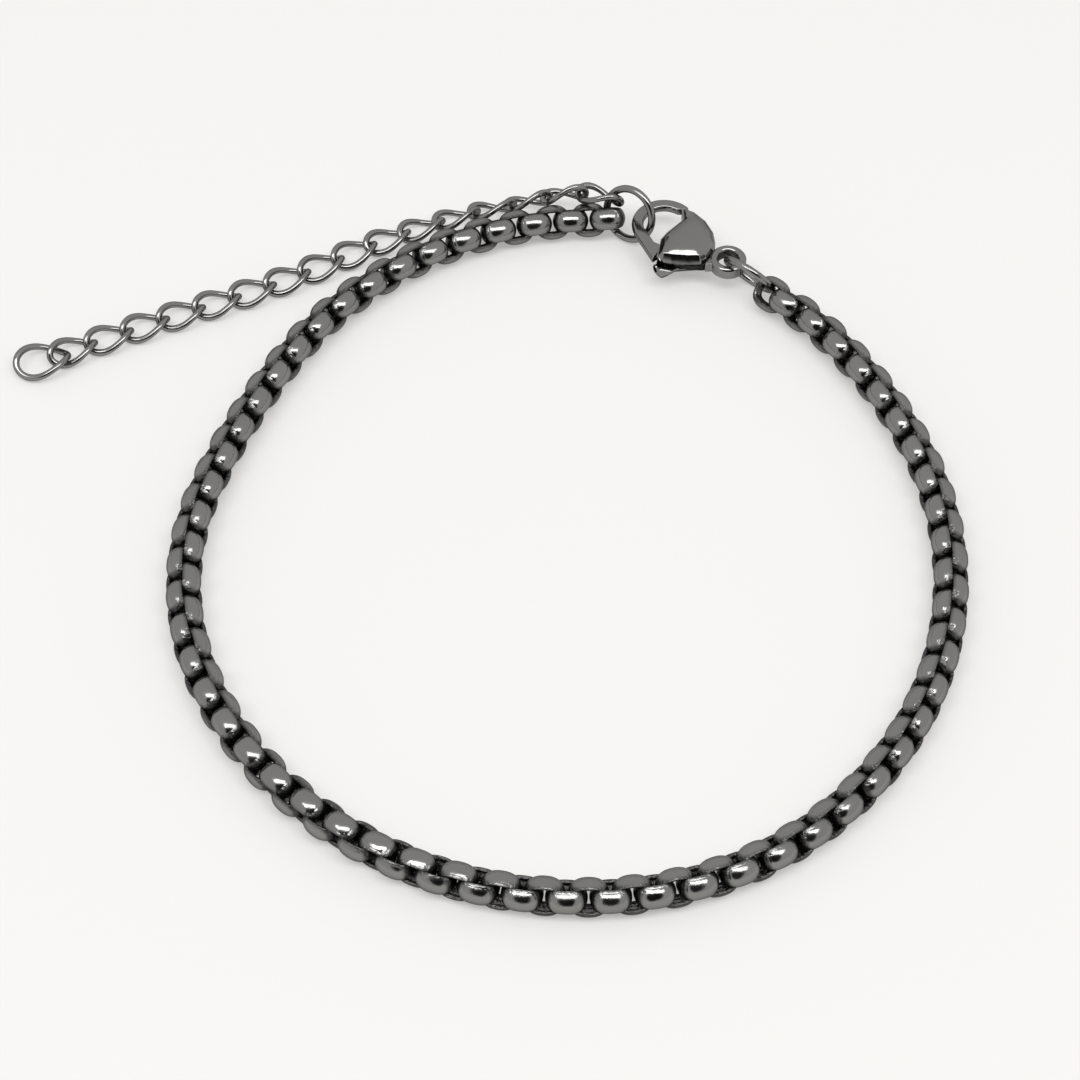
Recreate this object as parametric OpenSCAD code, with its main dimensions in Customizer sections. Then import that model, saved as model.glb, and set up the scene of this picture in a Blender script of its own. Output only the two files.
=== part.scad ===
// Hand chain: a round box chain bracelet with a lobster clasp and a curb extender,
// fastened in a loop and lying on a table. Millimetres, +Z up.

/* [Box chain] */
// Outer width of the box chain
chain_w = 3.0; // [2.9:0.1:3.1]
// Number of box links
link_count = 115; // [100:1:115]
// Distance between one link and the next
link_pitch = 1.6; // [1.5:0.05:1.7]
// Width of the strip that a box link is bent from
strip_w = 1.76; // [1.6:0.02:1.8]
// Thickness of the strip at its crown, on the sides of a link
strip_t = 0.4; // [0.36:0.02:0.44]
// Thickness of the strip on the ends of a link
strip_end_t = 0.32; // [0.28:0.02:0.34]
// Clearance between two hooked links
link_play = 0.2; // [0.18:0.01:0.24]
// Radius of the rounded outside of a link
crown_r = 2.3; // [2.2:0.1:2.6]

/* [Jump rings] */
// Outer diameter of both jump rings
ring_od = 5.2; // [5.1:0.1:5.3]
// Wire of both jump rings
ring_wire = 0.65; // [0.55:0.05:0.65]

/* [Extender] */
// Length of an extender link
ext_l = 4.5; // [4.4:0.05:4.6]
// Width of an extender link
ext_w = 3.0; // [2.8:0.05:3.2]
// Length of the larger link at the free end
ext_end_l = 4.9; // [4.7:0.05:5.1]
// Width of the larger link at the free end
ext_end_w = 3.8; // [3.6:0.05:4]
// Wire of the extender
ext_wire = 0.56; // [0.5:0.02:0.58]
// Distance between one extender link and the next
ext_pitch = 3.22; // [3.19:0.01:3.22]
// Twist of an extender link from its middle to each end
ext_twist = 43; // [40:1:46]
// Twist of the larger link
ext_end_twist = 30; // [25:1:33]

/* [Clasp] */
// Thickness of the lever at its dome
dome_t = 2.7; // [2.6:0.1:2.8]
// Thickness of the flat body inside the lever
body_t = 1.0; // [0.9:0.05:1.05]
// Radius of the hook's centre line
hook_r = 2.33; // [2.3:0.01:2.4]
// Thickness of the round hook and spine
hook_w = 1.05; // [0.95:0.05:1.05]
// Outer diameter of the eye
eye_od = 2.8; // [2.7:0.05:2.9]
// Hole of the eye
eye_hole = 1.8; // [1.6:0.1:1.9]
// Diameter of the lever's pin
pin_d = 0.8; // [0.7:0.05:0.9]
// Radial clearance of the lever on its pin
pin_play = 0.05; // [0.03:0.01:0.08]

/* [Hidden] */
$fn = 48;

// Position and direction on the table of the link held by the clasp's ring
chain_start = [24.69, 24.13, 1.7];
chain_heading = -36;
// The chain's way round. Columns: links in the stretch, degrees that it turns
route_table = [
    [4, -17],
    [8, -17],
    [12, -32],
    [12, -34],
    [12, -40],
    [12, -36],
    [12, -34],
    [12, -40],
    [10, -14],
    [10, -29],
    [10, -33]];
// How far the chain is rolled about its own length. Columns: link, degrees
roll_table = [[0, 44], [20, 45], [50, 35], [62, -5], [76, -45], [100, -45], [114, -42]];
// Its ends climb on to the jump rings: the links where this begins and the degrees for each link
climb_links = [1.5, 112];
climb_step = 4;

link_l = link_pitch + 2 * strip_end_t + link_play;
link_in_l = link_l - 2 * strip_end_t;
link_in_w = chain_w - 2 * strip_t;
// Radius that takes the corners off a link, seen from its open side
link_corner_r = 1.62;

// Jump rings. The centre line's radius, each ring's middle, and its turn about X, then Y, then Z
ring_r = (ring_od - ring_wire) / 2;
clasp_ring_at = [22.86, 25.84, 2.32];
clasp_ring_turn = [60.7, 0, 141];
closure_ring_at = [12.72, 32.68, 2.62];
closure_ring_turn = [69.8, 0, -35.6];

// Way of the extender from the closure ring out, over the back of the box chain and down to the
// table, and how far its links lean. Columns: link, degrees
ext_start = [10.16, 34.25, 3.2];
ext_heading_table = [[1, 160], [2, 173], [3, 187.5], [4, 190.5], [5, 198], [8, 211.5], [12, 203.5], [16, 206]];
ext_climb_table = [[1, -1], [2, -19], [3, -11], [4, -4.5], [5, -4.5], [7, 0]];
ext_roll_table = [[1, 29], [2, 43], [3, 45], [8, 0]];
// The larger link lies loose in its neighbour, turned and drawn in a little
ext_end_pitch = 2.7;
ext_end_turn = -10;
ext_rings = 16;
ext_sides = 6;

// Clasp, seen from above with the eye at the left and the hook on +X
clasp_at = [21.02, 27.32, 2.32];
clasp_heading = 145.7;
eye_at = [-0.05, 0];
eye_t = 1.4;
eye_round_r = 1.56;
hook_at = [6.8, -0.62];
pin_at = [3.1, 0.95];
// Directions from the hook's middle where the hook ends and where the straight spine begins
tip_a = -106;
spine_a = 59.4;
spine_l = 3.3;
// The spine is a little thicker than the hook, and the hook's end lies this deep in it
spine_w = hook_w + 0.06;
spine_lap = 0.25;
// Round the pin: the body's hub, the tip of the lever, and the gap between them and their neighbours
hub_r = 2.1;
tip_r = 4.85;
gap = 0.12;
slot_t = hook_w + 0.16;
dome_at = [3.9, -0.6];
dome_r = 6;
cheek_t = 2.4;
pin_l = 2.5;
// Outlines of the clasp's pieces, going round each
foot_outline = [[5.25, 3.2], [4.4, 2.35], [4.2, 0.9], [5.6, 1.8], [6.9, 1.9], [7.2, 1.9]];
hub_outline = [[0.9, 0.1], [4.1, 0.2], [5.2, 1.5], [5.2, 4], [0.9, 4]];
bar_outline = [[0.3, 0.8], [0.7, 1.35], [2.55, 2.7], [3, 1], [2, 0.1], [0.9, -0.3]];
dome_outline = [[6.3, -2.8], [6.35, -2.6], [5.6, -1.6], [5.9, 1.4], [5.75, 1.75], [4.2, 1.75],
    [1.75, 0.9], [1.42, 0.2], [1.75, -0.8], [2.6, -1.75], [3.9, -2.55], [5.3, -2.95]];
cheek_outline = [[5.75, 1.75], [5.15, 2.3], [5.0, 3.2], [5.1, 3.6], [4.8, 3.95], [4.15, 4.1],
    [3.7, 3.8], [3.3, 3.2], [2.6, 2.5], [1.9, 1.7], [1.6, 0.9], [3, 0]];
nub_outline = [[4.25, 2.72], [5.1, 3.6], [4.8, 3.95], [4.15, 4.1], [3.7, 3.8], [3.3, 3.2], [2.9, 2.7]];
pocket_outline = [[-1, -0.6], [3.6, -0.6], [6.6, 0.9], [6.6, 6], [-1, 6]];

function ext_name(i) = str("extender_link_", i < 10 ? "0" : "", i);

// Links before a row of the route, and the direction, climb and place of a link
function route_before(row) = row == 0 ? 0 : route_before(row - 1) + route_table[row - 1][0];
function heading(i) = chain_heading + add([for (row = [0 : len(route_table) - 1])
    route_table[row][1] * min(max((i - route_before(row)) / route_table[row][0], 0), 1)]);
function climb(i) = climb_step * (max(0, i - climb_links[1]) - max(0, climb_links[0] - i));
function add(v, i = 0) = i == len(v) ? 0 : v[i] + add(v, i + 1);
function unit(turn, rise) = [cos(turn) * cos(rise), sin(turn) * cos(rise), sin(rise)];
link_places = [for (i = 0, p = chain_start; i < link_count;
    p = p + link_pitch * unit(heading(i + 0.5), climb(i + 0.5)), i = i + 1) p];

// The same for the extender
function ext_heading(i) = lookup(i, ext_heading_table);
function ext_climb(i) = lookup(i, ext_climb_table);
function ext_roll(i) = lookup(i, ext_roll_table);
ext_places = [for (i = 1, p = ext_start; i <= 17;
    p = p + (i == 16 ? ext_end_pitch : ext_pitch) * unit(ext_heading(i + 0.5), ext_climb(i + 0.5)),
    i = i + 1) p];

module box_link() {
    intersection() {
        rotate([90, 0, 0])
            linear_extrude(strip_w, center = true)
                difference() {
                    intersection() {
                        square([link_l, chain_w], center = true);
                        circle(r = link_corner_r);
                    }
                    square([link_in_l, link_in_w], center = true);
                }
        for_crown(1);
        for_crown(-1);
    }
}

module for_crown(side) {
    translate([0, 0, side * (chain_w / 2 - crown_r)])
        sphere(r = crown_r);
}

module box_chain() {
    color("#7d7d7a")
        for (i = [0 : link_count - 1])
            translate(link_places[i])
                rotate([lookup(i, roll_table) + (i % 2 == 0 ? 90 : 0), -climb(i), heading(i)])
                    box_link();
}

module jump_ring() {
    rotate_extrude()
        translate([ring_r, 0])
            circle(d = ring_wire);
}

module clasp_ring() {
    color("#8a8a87")
        translate(clasp_ring_at)
            rotate(clasp_ring_turn)
                jump_ring();
}

module closure_ring() {
    color("#8a8a87")
        translate(closure_ring_at)
            rotate(closure_ring_turn)
                jump_ring();
}

// Centre line of an extender link, an oval twisted about its own length
function ext_point(l, w, twist, t) =
    let (f = -twist * cos(t), y = (w - ext_wire) / 2 * sin(t))
    [(l - ext_wire) / 2 * cos(t), y * cos(f), y * sin(f)];
function norm_of(v) = v / norm(v);
// One section of the wire at the angle t round the link
function ext_section(l, w, twist, t) =
    let (
        along = norm_of(ext_point(l, w, twist, t + 1) - ext_point(l, w, twist, t - 1)),
        f = -twist * cos(t),
        out = norm_of(cross(along, [0, -sin(f), cos(f)])),
        up = cross(out, along))
    [for (j = [0 : ext_sides - 1])
        let (a = 360 * j / ext_sides)
        ext_point(l, w, twist, t) + ext_wire / 2 * (out * cos(a) + up * sin(a))];

module twisted_link(l, w, twist) {
    points = [for (i = [0 : ext_rings - 1]) each ext_section(l, w, twist, 360 * i / ext_rings)];
    faces = [for (i = [0 : ext_rings - 1], j = [0 : ext_sides - 1])
        let (
            i2 = (i + 1) % ext_rings * ext_sides,
            i1 = i * ext_sides,
            j2 = (j + 1) % ext_sides)
        each [[i1 + j, i2 + j2, i2 + j], [i1 + j, i1 + j2, i2 + j2]]];
    polyhedron(points, faces);
}

module extender_link(i) {
    color("#8a8a87")
        translate(ext_places[i - 1])
            rotate([ext_roll(i), -ext_climb(i), ext_heading(i) + (i == 17 ? ext_end_turn : 0)])
                if (i == 17)
                    twisted_link(ext_end_l, ext_end_w, ext_end_twist);
                else
                    twisted_link(ext_l, ext_w, ext_twist);
}

module in_clasp() {
    translate(clasp_at)
        rotate([0, 0, clasp_heading])
            union()
                children();
}

module round_pin(r) {
    translate(pin_at)
        circle(r = r);
}

module hook() {
    difference() {
        translate([hook_at[0], hook_at[1], 0])
            rotate([0, 0, tip_a])
                rotate_extrude(angle = spine_a - tip_a)
                    translate([hook_r, 0])
                        circle(d = hook_w);
        // The tip is cut on a circle round the pin, so that the lever swings past it
        intersection() {
            translate([pin_at[0], pin_at[1], 0])
                cylinder(r = tip_r + gap, h = 4, center = true);
            translate([4, -5, -2])
                cube([4, 3.4, 4]);
        }
    }
}

module spine() {
    translate([hook_at[0], hook_at[1], 0])
        rotate([0, 0, spine_a])
            translate([hook_r, -spine_lap, 0])
                rotate([-90, 0, 0])
                    cylinder(d = spine_w, h = spine_l + spine_lap);
}

module body_outline() {
    polygon(foot_outline);
    polygon(bar_outline);
    intersection() {
        round_pin(hub_r);
        polygon(hub_outline);
    }
}

module clasp_body() {
    color("#7d7d7a")
        in_clasp() {
            hook();
            spine();
            difference() {
                union() {
                    linear_extrude(body_t, center = true)
                        body_outline();
                    translate([pin_at[0], pin_at[1], 0])
                        cylinder(d = pin_d, h = pin_l, center = true);
                    translate([eye_at[0], eye_at[1], 0])
                        intersection() {
                            cylinder(d = eye_od, h = eye_t, center = true);
                            sphere(r = eye_round_r);
                        }
                }
                translate([eye_at[0], eye_at[1], 0])
                    cylinder(d = eye_hole, h = 4, center = true);
            }
        }
}

module dome() {
    intersection() {
        linear_extrude(dome_t, center = true)
            intersection() {
                polygon(dome_outline);
                round_pin(tip_r);
            }
        for_dome(1);
        for_dome(-1);
    }
}

module for_dome(side) {
    translate([dome_at[0], dome_at[1], side * (dome_t / 2 - dome_r)])
        sphere(r = dome_r);
}

module clasp_lever() {
    color("#8a8a87")
        in_clasp()
            difference() {
                union() {
                    dome();
                    linear_extrude(cheek_t, center = true)
                        polygon(cheek_outline);
                }
                linear_extrude(slot_t, center = true)
                    difference() {
                        polygon(pocket_outline);
                        difference() {
                            polygon(nub_outline);
                            round_pin(hub_r + gap);
                        }
                    }
                translate([pin_at[0], pin_at[1], 0])
                    cylinder(d = pin_d + 2 * pin_play, h = 4, center = true);
            }
}

box_chain();
clasp_ring();
closure_ring();
clasp_body();
clasp_lever();
for (i = [1 : 17])
    extender_link(i);
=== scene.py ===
import math

import bmesh
import bpy
from mathutils import Matrix, Vector


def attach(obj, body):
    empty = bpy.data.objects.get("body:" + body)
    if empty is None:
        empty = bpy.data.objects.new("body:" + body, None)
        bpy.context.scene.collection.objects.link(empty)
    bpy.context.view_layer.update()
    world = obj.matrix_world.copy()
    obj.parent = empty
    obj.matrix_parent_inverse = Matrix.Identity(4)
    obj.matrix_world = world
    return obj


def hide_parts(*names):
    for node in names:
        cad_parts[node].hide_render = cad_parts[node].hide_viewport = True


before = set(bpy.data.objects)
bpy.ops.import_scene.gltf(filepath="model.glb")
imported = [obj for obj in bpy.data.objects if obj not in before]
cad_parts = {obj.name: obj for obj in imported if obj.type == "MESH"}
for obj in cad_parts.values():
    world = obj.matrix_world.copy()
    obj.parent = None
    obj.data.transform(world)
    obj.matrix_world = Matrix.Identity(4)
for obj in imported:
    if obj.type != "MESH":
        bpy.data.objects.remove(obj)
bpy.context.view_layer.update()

# Round box chain. Each link is a strip of stainless steel folded into a square ring and pressed to a
# dome on its two wide sides, so that the chain comes out round. The links hook through each other at
# right angles, and the whole chain is tumbled bright. Its folds and insides get painted shade.
MM = 0.001
link_count = 115
link_length, link_width, link_pitch = 3.12, 3.0, 1.6
strip_half, strip_half_end, strip_thickness = 0.95, 0.8, 0.3
crown_radius, corner, edge_draw_in, rim_round = 1.15, 2.4, 0.2, 0.07
# Where each link's folds lie, and how dark the painted shade is on the folds and on the inside
fold_low, fold_high, fold_painted_shade, inside_painted_shade = 0.5, 1.15, 0.85, 0.4
chain_start = Vector((24.69, 24.13, 1.7))
chain_heading = -36
# The chain's colour, and the colour of its painted shade
chain_tint, chain_painted_shade = (0.255, 0.255, 0.252), (0.045, 0.045, 0.044)
# How many links each bend takes and its degrees, and how far round the links are rolled on the way
route = [(4, -17), (8, -17), (12, -32), (12, -34), (12, -40), (12, -36), (12, -34), (12, -40),
         (10, -14), (10, -29), (10, -33)]
rolls = [(0, 44), (20, 45), (50, 35), (62, -5), (76, -45), (100, -45), (114, -42)]
# The first and last links climb to their rings, by this many degrees a link
climb_step, climb_before, climb_after = 4, 1.5, 112


def clamped(x):
    return max(0, min(1, x))


def between(table, x):
    """The value at x in a table of (place, value), in straight lines."""
    for (x0, y0), (x1, y1) in zip(table, table[1:]):
        if x <= x1:
            return y0 + (y1 - y0) * max(x - x0, 0) / (x1 - x0)
    return table[-1][1]


def chain_turn(i):
    turn, before = chain_heading, 0
    for count, degrees in route:
        turn += degrees * clamped((i - before) / count)
        before += count
    return turn


def chain_climb(i):
    return climb_step * (max(0, i - climb_after) - max(0, climb_before - i))


def direction(turn, climb):
    a, b = math.radians(turn), math.radians(climb)
    return Vector((math.cos(a) * math.cos(b), math.sin(a) * math.cos(b), math.sin(b)))


def placed(at, turn, climb=0, roll=0):
    """Where a piece goes: rolled about its length, tipped up, turned, and moved, in millimetres."""
    return (Matrix.Translation(at) @ Matrix.Rotation(math.radians(turn), 4, "Z")
            @ Matrix.Rotation(math.radians(-climb), 4, "Y") @ Matrix.Rotation(math.radians(roll), 4, "X"))


def polished_steel(name, tint, rough, painted_shade_colour, scratch):
    """Bright stainless steel: cloudy polish, fine scratches, and painted shade, darker and rougher, where
    the attribute shade is high.
    """
    mat = bpy.data.materials.new(name)
    mat.use_nodes = True
    nodes, links = mat.node_tree.nodes, mat.node_tree.links
    steel = nodes["Principled BSDF"]
    steel.inputs["Metallic"].default_value = 1.0
    steel.inputs["Specular Tint"].default_value = (0.35, 0.35, 0.35, 1)
    place = nodes.new("ShaderNodeTexCoord")
    shade = nodes.new("ShaderNodeAttribute")
    shade.attribute_name = "shade"

    def grain(scale, detail):
        texture = nodes.new("ShaderNodeTexNoise")
        texture.inputs["Scale"].default_value = scale
        texture.inputs["Detail"].default_value = detail
        links.new(place.outputs["Object"], texture.inputs["Vector"])
        return texture

    def relief(height, strength, distance):
        bump = nodes.new("ShaderNodeBump")
        bump.inputs["Strength"].default_value = strength
        bump.inputs["Distance"].default_value = distance
        links.new(height, bump.inputs["Height"])
        return bump

    # Cloudy polish, rougher where shade is painted
    polish = nodes.new("ShaderNodeMapRange")
    polish.inputs["From Min"].default_value = 0.3
    polish.inputs["From Max"].default_value = 0.7
    polish.inputs["To Min"].default_value = rough * 0.7
    polish.inputs["To Max"].default_value = rough * 1.5
    links.new(grain(700, 5).outputs["Fac"], polish.inputs["Value"])
    dull = nodes.new("ShaderNodeMath")
    dull.operation = "MULTIPLY_ADD"
    dull.inputs[1].default_value = 0.3
    links.new(shade.outputs["Fac"], dull.inputs[0])
    links.new(polish.outputs["Result"], dull.inputs[2])
    links.new(dull.outputs["Value"], steel.inputs["Roughness"])

    # Colour in faint patches, darkened by painted shade in the crevices
    hue = nodes.new("ShaderNodeMix")
    hue.data_type = "RGBA"
    hue.inputs[6].default_value = (tint[0] * 0.9, tint[1] * 0.9, tint[2] * 0.91, 1)
    hue.inputs[7].default_value = (tint[0] * 1.08, tint[1] * 1.07, tint[2] * 1.04, 1)
    links.new(grain(260, 3).outputs["Fac"], hue.inputs[0])
    # Painted shade: the colour turns to the given shade colour where the attribute shade is high
    painted_shade_mix = nodes.new("ShaderNodeMix")
    painted_shade_mix.data_type = "RGBA"
    painted_shade_mix.inputs[7].default_value = (*painted_shade_colour, 1)
    links.new(shade.outputs["Fac"], painted_shade_mix.inputs[0])
    links.new(hue.outputs[2], painted_shade_mix.inputs[6])
    links.new(painted_shade_mix.outputs[2], steel.inputs["Base Color"])

    # Fine scratches, creases in the crevices and a slight unevenness, one on the other
    lines = grain(2600, 6)
    lines.inputs["Roughness"].default_value = 0.65
    stretch = nodes.new("ShaderNodeMapping")
    stretch.inputs["Scale"].default_value = (1, 0.35, 1)
    links.new(place.outputs["Object"], stretch.inputs["Vector"])
    links.new(stretch.outputs["Vector"], lines.inputs["Vector"])
    scratched = relief(lines.outputs["Fac"], 0.5 * scratch, 0.000004)
    crease = nodes.new("ShaderNodeMath")
    crease.operation = "MULTIPLY"
    links.new(grain(3400, 2).outputs["Fac"], crease.inputs[0])
    links.new(shade.outputs["Fac"], crease.inputs[1])
    pressed = relief(crease.outputs["Value"], 0.8, 0.0002)
    links.new(scratched.outputs["Normal"], pressed.inputs["Normal"])
    uneven = relief(grain(1000, 1).outputs["Fac"], 1.0, 0.00001 * scratch)
    links.new(pressed.outputs["Normal"], uneven.inputs["Normal"])
    links.new(uneven.outputs["Normal"], steel.inputs["Normal"])
    return mat


def finished(name, bm, material, body, node, shades=None):
    """Turns a shape in millimetres into a piece in metres that rides on its body and stands for its node."""
    bmesh.ops.scale(bm, vec=(MM, MM, MM), verts=bm.verts)
    mesh = bpy.data.meshes.new(name)
    bm.to_mesh(mesh)
    bm.free()
    mesh.shade_smooth()
    attribute = mesh.attributes.new("shade", "FLOAT", "POINT")
    if shades:
        attribute.data.foreach_set("value", shades)
    mesh.materials.append(material)
    piece = bpy.data.objects.new(name, mesh)
    bpy.context.scene.collection.objects.link(piece)
    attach(piece, body)
    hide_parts(node)


def folded_link():
    """One box link, lying along X with its domes on Z."""
    bm = bmesh.new()
    bmesh.ops.create_circle(bm, cap_ends=False, segments=36, radius=1)
    bmesh.ops.rotate(bm, verts=bm.verts, cent=(0, 0, 0), matrix=Matrix.Rotation(math.pi / 2, 3, "X"))
    bmesh.ops.translate(bm, verts=bm.verts, vec=(0, -1, 0))
    drawn = bmesh.ops.extrude_edge_only(bm, edges=bm.edges[:])["geom"]
    bmesh.ops.translate(bm, verts=[v for v in drawn if isinstance(v, bmesh.types.BMVert)], vec=(0, 2, 0))
    across = [e for e in bm.edges if abs(e.verts[0].co.y - e.verts[1].co.y) > 1]
    bmesh.ops.subdivide_edges(bm, edges=across, cuts=9, use_grid_fill=True)
    for v in bm.verts:
        x, side, z = v.co
        square = (abs(x) ** corner + abs(z) ** corner) ** (-1 / corner)
        x, z = x * square, z * square
        y = side * (strip_half_end + (strip_half - strip_half_end) * z * z)
        crown = link_width / 2 - crown_radius + math.sqrt(crown_radius ** 2 - y * y)
        v.co = (x * link_length / 2 * (1 - edge_draw_in * side * side), y, z * crown)
    bmesh.ops.recalc_face_normals(bm, faces=bm.faces)
    bmesh.ops.solidify(bm, geom=bm.faces[:], thickness=strip_thickness)
    bmesh.ops.recalc_face_normals(bm, faces=bm.faces)
    rims = [e for e in bm.edges if e.is_manifold and e.calc_face_angle() > 0.9]
    bmesh.ops.bevel(bm, geom=rims, offset=rim_round, offset_type="OFFSET", segments=2, profile=0.5,
                    affect="EDGES", material=-1)
    return bm


def link_shade(at):
    """How much painted shade a box link gets at a point: much where the strip folds, and a little on its
    inside.
    """
    x, y, z = at
    fold = min((fold_high - abs(z)) / 0.15, (abs(z) - fold_low) / 0.2)
    depth = 1 - abs(2 * x / link_length) ** corner - (abs(z) / (0.35 + math.sqrt(1.4 - y * y))) ** corner
    return max(fold_painted_shade * clamped(fold), inside_painted_shade * clamped(depth * 3))


link_shape = folded_link()
link_shades = [link_shade(v.co) for v in link_shape.verts]
link_mesh = bpy.data.meshes.new("link_shape")
link_shape.to_mesh(link_mesh)
link_shape.free()
chain_steel = polished_steel("chain_steel", chain_tint, 0.13, chain_painted_shade, 1.6)
places, at = [], chain_start.copy()
for i in range(link_count):
    quarter = 90 if i % 2 == 0 else 0
    places.append(placed(at, chain_turn(i), chain_climb(i), between(rolls, i) + quarter))
    at = at + link_pitch * direction(chain_turn(i + 0.5), chain_climb(i + 0.5))
for name, alternate in (("links_flat", places[0::2]), ("links_upright", places[1::2])):
    chain = bmesh.new()
    for place in alternate:
        copy = link_mesh.copy()
        copy.transform(place)
        chain.from_mesh(copy)
        bpy.data.meshes.remove(copy)
    shades = link_shades * len(alternate)
    finished(name, chain, chain_steel, "bracelet", "box_chain", shades)


# Jump rings. Two rings of drawn steel wire, each bent round and closed butt to butt. One joins the
# clasp's eye to the chain's first link, the other holds the last link and the extender for the hook.
ring_radius, ring_wire = 2.275, 0.65
# The wire's colour, and the colour of its painted shade, which no wire piece gets
wire_tint, wire_painted_shade = (0.24, 0.24, 0.237), (0.05, 0.05, 0.048)
# Each ring's middle, how far it is tipped and turned, and where its ends meet
jump_rings = [("clasp", (22.86, 25.84, 2.32), 60.7, 141, 200),
              ("closure", (12.72, 32.68, 2.62), 69.8, -35.6, 250)]
wire_steel = polished_steel("wire_steel", wire_tint, 0.17, wire_painted_shade, 1.4)


def wire_ring(radius, wire, slit, steps, sides):
    """A ring of round wire about Z, open by a hair where its ends meet, or closed where slit is 0."""
    bm = bmesh.new()
    bmesh.ops.create_circle(bm, cap_ends=slit > 0, cap_tris=False, segments=sides, radius=wire / 2)
    bmesh.ops.rotate(bm, verts=bm.verts, cent=(0, 0, 0), matrix=Matrix.Rotation(math.pi / 2, 3, "X"))
    bmesh.ops.translate(bm, verts=bm.verts, vec=(radius, 0, 0))
    bmesh.ops.spin(bm, geom=bm.faces[:] + bm.edges[:], cent=(0, 0, 0), axis=(0, 0, 1), steps=steps,
                   angle=math.radians(360 - slit), use_merge=slit == 0)
    bmesh.ops.recalc_face_normals(bm, faces=bm.faces)
    return bm


for owner, middle, tip, turn, slit_at in jump_rings:
    ring = wire_ring(ring_radius, ring_wire, 1.2, 72, 20)
    slit_turn = Matrix.Rotation(math.radians(slit_at), 3, "Z")
    bmesh.ops.rotate(ring, verts=ring.verts, cent=(0, 0, 0), matrix=slit_turn)
    bmesh.ops.transform(ring, verts=ring.verts, matrix=placed(middle, turn, 0, tip))
    finished(f"{owner}_wire_ring", ring, wire_steel, "bracelet", f"{owner}_ring")


# Extender. Seventeen oval links of drawn wire, bent, soldered and twisted like a curb so that each lies
# at an angle to the next. The last one is larger and flatter, for the hook or a charm.
extender_count, extender_wire, extender_pitch, end_pitch, end_turn = 17, 0.56, 3.22, 2.7, -10
# Length, width and twist in degrees
curb_size, end_size = (4.5, 3.0, 43), (4.9, 3.8, 30)
extender_start = Vector((10.16, 34.25, 3.2))
extender_turns = [(1, 160), (2, 173), (3, 187.5), (4, 190.5), (5, 198), (8, 211.5), (12, 203.5), (16, 206)]
extender_climbs = [(1, -1), (2, -19), (3, -11), (4, -4.5), (5, -4.5), (7, 0)]
extender_leans = [(1, 29), (2, 43), (3, 45), (8, 0)]


def twisted_link(length, width, twist):
    """An oval ring of wire, wrung about its own length."""
    wide, long = (width - extender_wire) / 2, (length - extender_wire) / 2
    bm = wire_ring(wide, extender_wire, 0, 64, 16)
    for v in bm.verts:
        t = math.atan2(v.co.y, v.co.x)
        off = v.co - Vector((math.cos(t) * wide, math.sin(t) * wide, 0))
        far = off.x * math.cos(t) + off.y * math.sin(t)
        along = Vector((-long * math.sin(t), wide * math.cos(t), 0)).normalized()
        out = Vector((along.y, -along.x, 0))
        oval = Vector((long * math.cos(t), wide * math.sin(t), off.z)) + out * far
        wring = -math.radians(twist) * max(-1, min(1, oval.x / long))
        v.co = Matrix.Rotation(wring, 3, "X") @ oval
    bmesh.ops.recalc_face_normals(bm, faces=bm.faces)
    return bm


at = extender_start
for i in range(1, extender_count + 1):
    last = i == extender_count
    link = twisted_link(*(end_size if last else curb_size))
    turn = between(extender_turns, i) + (end_turn if last else 0)
    place = placed(at, turn, between(extender_climbs, i), between(extender_leans, i))
    bmesh.ops.transform(link, verts=link.verts, matrix=place)
    finished(f"curb_link_{i:02d}", link, wire_steel, "bracelet", f"extender_link_{i:02d}")
    step = end_pitch if i == extender_count - 1 else extender_pitch
    at = at + step * direction(between(extender_turns, i + 0.5), between(extender_climbs, i + 0.5))


# Clasp frame. One steel casting: an eye for the clasp's ring, a flat middle that the lever turns on, and
# a spine that runs round into the hook. It is tumbled, so no edge is sharp.
clasp_at, clasp_heading = Vector((21.02, 27.32, 2.32)), 145.7
eye, pin = Vector((-0.05, 0)), Vector((3.1, 0.95))
casting_voxel, hook_half, eye_half = 0.05, 0.38, 0.64
# The castings' colour, and the colour of their painted shade
clasp_tint, clasp_painted_shade = (0.23, 0.23, 0.227), (0.02, 0.02, 0.019)
clasp_steel = polished_steel("clasp_steel", clasp_tint, 0.1, clasp_painted_shade, 2.2)


def worn(bm, verts, passes):
    """Tumbles a casting: each pass rounds its edges a little more."""
    for turn in range(passes):
        bmesh.ops.smooth_vert(bm, verts=verts, factor=0.5, use_axis_x=True, use_axis_y=True, use_axis_z=True)


def one_skin(bm, passes):
    """Melts a rough shape of many solids into one even skin, with all its edges worn round."""
    cast = bpy.data.meshes.new("cast")
    bm.to_mesh(cast)
    bm.free()
    mould = bpy.data.objects.new("cast", cast)
    bpy.context.scene.collection.objects.link(mould)
    skin = mould.modifiers.new("skin", "REMESH")
    skin.mode, skin.voxel_size = "VOXEL", casting_voxel
    done = bpy.data.meshes.new_from_object(mould.evaluated_get(bpy.context.evaluated_depsgraph_get()))
    bpy.data.objects.remove(mould)
    melted = bmesh.new()
    melted.from_mesh(done)
    bpy.data.meshes.remove(done)
    worn(melted, melted.verts, passes)
    return melted


def under_lever(x, y):
    """Whether a point is on the flat middle, which the lever's cheeks cover."""
    return 1.2 < x < 5.4 and y > -1.2


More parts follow.
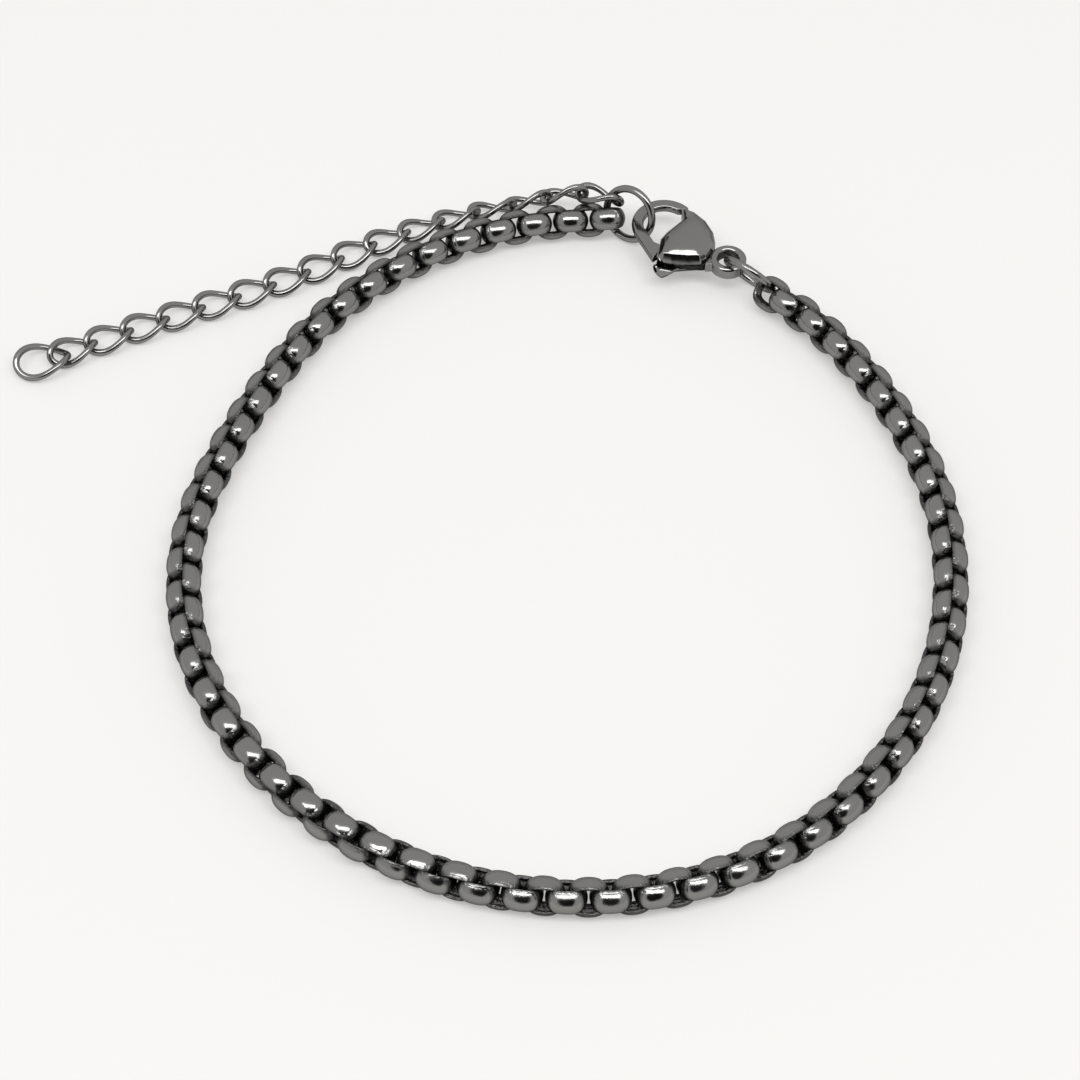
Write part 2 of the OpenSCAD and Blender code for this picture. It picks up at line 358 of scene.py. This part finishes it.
blank = bmesh.new()
blank.from_mesh(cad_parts["clasp_body"].data)
bmesh.ops.scale(blank, vec=(1 / MM, 1 / MM, 1 / MM), verts=blank.verts)
bmesh.ops.remove_doubles(blank, verts=blank.verts, dist=0.0005)
bmesh.ops.transform(blank, verts=blank.verts, matrix=placed(clasp_at, clasp_heading).inverted())
frame_cast = one_skin(blank, 4)
for v in frame_cast.verts:
    x, y, z = v.co
    # The hook is flattened, and the middle thins from the eye on and is drawn in behind the lever's edge
    if x > 3.4 and (y < -1.0 or x > 5.3):
        v.co.z = math.copysign(min(abs(z), hook_half), z)
    elif under_lever(x, y):
        v.co.z = z * (1 - 0.6 * clamped((x - 1.2) / 0.5))
        v.co.y -= 0.35 * clamped(min((y - 0.6) / 0.4, (3.4 - x) / 0.4))
    # The eye's rim is rounded like a doughnut and stands out a little
    ring = (v.co.xy - eye).length
    if ring < 1.45:
        bulge = eye_half * math.sqrt(max(0.05, 1 - ((ring - 1.15) / 0.33) ** 2))
        v.co.z = math.copysign(min(abs(z), bulge), z)
        v.co.xy = eye + (v.co.xy - eye) * (1 + 0.11 * clamped((ring - 1.0) / 0.3))
worn(frame_cast, frame_cast.verts, 6)
hook_verts = [v for v in frame_cast.verts if v.co.x > 4.2 and (v.co.y < -1.3 or v.co.x > 5.6)]
worn(frame_cast, hook_verts, 14)
# Painted shade: near black on the middle inside the lever's slot, and dark inside the eye
frame_shades = []
for v in frame_cast.verts:
    x, y, z = v.co
    slotted = under_lever(x, y) and (v.co.xy - pin).length < 2.9 and abs(z) < 0.45
    in_eye = (v.co.xy - eye).length < 0.95
    frame_shades.append(0.95 if slotted else 0.6 if in_eye else 0)
bmesh.ops.transform(frame_cast, verts=frame_cast.verts, matrix=placed(clasp_at, clasp_heading))
finished("clasp_frame", frame_cast, clasp_steel, "bracelet", "clasp_body", frame_shades)


# Thumb lever. A second steel casting: two domed cheeks on a core, with a nub for the thumb on the lower
# cheek. It turns on the pin through the frame's middle, and a hidden spring pushes its tip to the hook.
cheek_low, cheek_high, core_half = 0.45, 1.35, 0.8
lever_back = [(5.1, 3.3), (5.75, 1.75), (5.9, 1.4), (5.9, 0.4), (5.6, -1.6), (6.35, -2.6), (6.25, -2.8),
              (5.3, -2.95), (3.9, -2.6), (2.6, -1.8), (1.75, -0.8), (1.42, 0.2), (1.4, 1.0)]
upper_front = [(1.55, 1.75), (2.45, 2.42), (3.7, 3.12), (4.6, 3.45)]
lower_front = [(1.6, 1.65), (2.5, 2.4), (3.2, 3.0), (3.48, 3.85), (3.85, 4.45), (4.55, 4.35), (5.2, 3.7)]
core_front = [(1.9, -0.6), (3.6, -0.6)]
lever_upper = [Vector(point) for point in lever_back + upper_front]
lever_lower = [Vector(point) for point in lever_back + lower_front]
lever_core = [Vector(point) for point in lever_back[3:11] + core_front]
# How high a cheek stands, by the distance from its edge
cheek_dome = [(0, 0.25), (0.1, 0.48), (0.25, 0.74), (0.4, 0.96), (0.52, 1.06), (0.7, 1.16), (0.95, 1.29),
              (1.2, 1.37), (1.5, 1.42), (1.8, 1.45)]
# How dark the painted shade is inside the slot between the cheeks
slot_painted_shade = 0.9


def slab(bm, outline, low, high):
    """Adds an outline as a solid plate between two heights."""
    base = bm.faces.new([bm.verts.new((side.x, side.y, low)) for side in outline])
    drawn = bmesh.ops.extrude_face_region(bm, geom=[base], use_keep_orig=True)["geom"]
    raised = [v for v in drawn if isinstance(v, bmesh.types.BMVert)]
    bmesh.ops.translate(bm, verts=raised, vec=(0, 0, high - low))


def inside_edge(at, outline):
    """How far a point lies from the nearest side of an outline."""
    return min((at - a - (b - a) * clamped((at - a).dot(b - a) / (b - a).length_squared)).length
               for a, b in zip(outline, outline[1:] + outline[:1]))


blank = bmesh.new()
slab(blank, lever_upper, cheek_low, cheek_high)
slab(blank, lever_lower, -cheek_high, -cheek_low)
slab(blank, lever_core, -core_half, core_half)
bmesh.ops.recalc_face_normals(blank, faces=blank.faces)
lever_cast = one_skin(blank, 2)
lever_shades = []
for v in lever_cast.verts:
    x, y, z = v.co
    rim = inside_edge(v.co.xy, lever_upper if z > 0 else lever_lower)
    # The cheeks are domed, and stand wider apart where the frame between them is thick
    if abs(z) > cheek_low:
        low = 0.22 + 0.23 * clamped(max((x - 4.4) / 0.5, (-0.4 - y) / 0.5))
        top = max(low + 0.05, between(cheek_dome, rim))
        v.co.z = math.copysign(low + (top - low) * (abs(z) - cheek_low) / (cheek_high - cheek_low), z)
    # The nub slopes away from the upper cheek, up to a thin lip
    out = inside_edge(v.co.xy, lever_upper)
    nub = z < 0 and y > 2.2 + 0.25 * abs(x - 3.9) and out > 0.1
    if nub and -0.55 < z < -0.2:
        v.co.z -= 0.35 * min(1, out / 0.8) * min(1, rim / 0.25) - 0.15 * max(0, 1 - rim / 0.2)
    # Painted shade inside the slot between the cheeks, but not on the nub
    in_slot = not nub and abs(z) < cheek_low + 0.01 and rim > 0.12
    lever_shades.append(slot_painted_shade if in_slot else 0)
worn(lever_cast, lever_cast.verts, 5)
worn(lever_cast, [v for v in lever_cast.verts if abs(v.co.z) > 1.02], 90)
bmesh.ops.transform(lever_cast, verts=lever_cast.verts, matrix=placed(clasp_at, clasp_heading))
finished("thumb_lever", lever_cast, clasp_steel, "lever", "clasp_lever", lever_shades)


# Table, light and camera. A plain pale table that is faintly lit from below, one wide lamp above the
# camera, and an even grey room with a dark patch low behind the camera for the steel to mirror.
table = bmesh.new()
bmesh.ops.create_grid(table, x_segments=1, y_segments=1, size=3)
table_mesh = bpy.data.meshes.new("table")
table.to_mesh(table_mesh)
table.free()
floor = bpy.data.objects.new("table", table_mesh)
bpy.context.scene.collection.objects.link(floor)
table_paint = bpy.data.materials.new("table_paint")
table_paint.use_nodes = True
paint = table_paint.node_tree.nodes["Principled BSDF"].inputs
paint["Base Color"].default_value = (0.45, 0.446, 0.437, 1)
paint["Roughness"].default_value = 0.9
paint["Specular IOR Level"].default_value = 0.1
paint["Emission Color"].default_value = (1, 0.99, 0.965, 1)
paint["Emission Strength"].default_value = 0.35
table_mesh.materials.append(table_paint)

window = bpy.data.lights.new("window", "AREA")
window.shape = "RECTANGLE"
window.size, window.size_y = 1.1, 0.3
window.energy = 5.5
lamp = bpy.data.objects.new("window", window)
bpy.context.scene.collection.objects.link(lamp)
lamp.location = (0, -0.25, 0.75)
lamp.rotation_euler = (-lamp.location).to_track_quat("-Z", "Y").to_euler()

patch_height, patch_reach, patch_core = math.radians(38), math.radians(38), math.radians(25)
room = bpy.data.worlds.new("room")
bpy.context.scene.world = room
room.use_nodes = True
nodes, links = room.node_tree.nodes, room.node_tree.links
sky = nodes["Background"]
sky.inputs["Color"].default_value = (1, 0.99, 0.985, 1)
way = nodes.new("ShaderNodeTexCoord")
toward = nodes.new("ShaderNodeVectorMath")
toward.operation = "DOT_PRODUCT"
toward.inputs[1].default_value = (0, -math.cos(patch_height), math.sin(patch_height))
links.new(way.outputs["Generated"], toward.inputs[0])
edge = nodes.new("ShaderNodeMapRange")
edge.interpolation_type = "SMOOTHSTEP"
edge.inputs["From Min"].default_value = math.cos(patch_reach)
edge.inputs["From Max"].default_value = math.cos(patch_core)
edge.inputs["To Min"].default_value = 0.8
edge.inputs["To Max"].default_value = 0.02
links.new(toward.outputs["Value"], edge.inputs["Value"])
links.new(edge.outputs["Result"], sky.inputs["Strength"])

bpy.context.scene.view_settings.view_transform = "Standard"
lens = bpy.data.cameras.new("camera")
lens.lens, lens.sensor_width, lens.clip_start = 93.33, 36, 0.01
camera = bpy.data.objects.new("camera", lens)
bpy.context.scene.collection.objects.link(camera)
camera.location = (0.00509, -0.13777, 0.177)
camera.rotation_euler = (Matrix.Rotation(math.radians(37.7), 3, "X")
                         @ Matrix.Rotation(math.radians(0.2), 3, "Z")).to_euler()
bpy.context.scene.camera = camera
